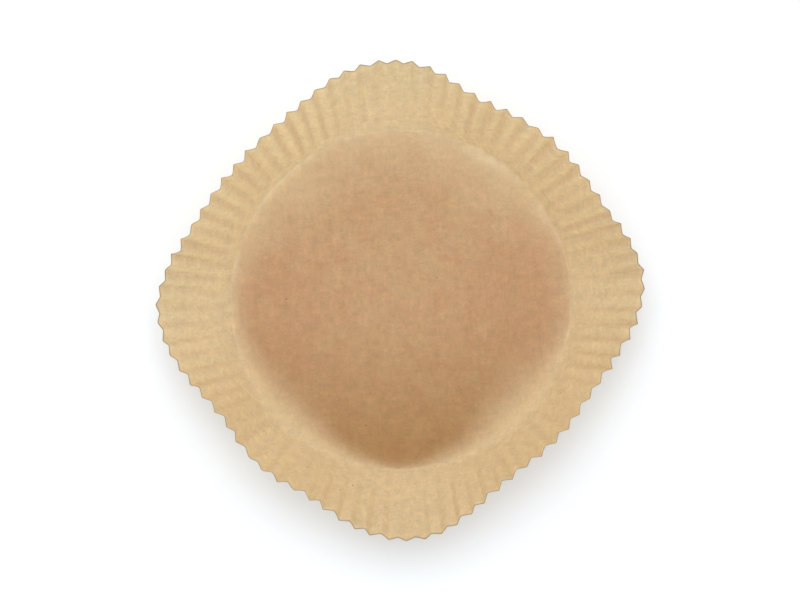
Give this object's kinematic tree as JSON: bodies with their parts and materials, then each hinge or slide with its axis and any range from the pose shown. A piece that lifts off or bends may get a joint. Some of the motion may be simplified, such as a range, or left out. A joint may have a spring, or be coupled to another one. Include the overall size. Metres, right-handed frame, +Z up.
{
  "type": "air fryer paper liner",
  "caption": "Round fluted paper liner with a flat floor and a flared, pleated wall that opens into a rounded-square rim, for lining an air fryer basket.",
  "frame": {"origin": "middle of the floor's underside, where the liner rests", "axes": "+Z up out of the bowl, with the four rim corners near +X, +Y, -X and -Y"},
  "size_m": [0.225, 0.2225, 0.0451],
  "materials": {
    "kraft_paper": "unbleached greaseproof paper, smooth and slightly translucent, matt with a faint sheen"
  },
  "bodies": {
    "root": {"liner": "kraft_paper"}
  },
  "joints": []
}
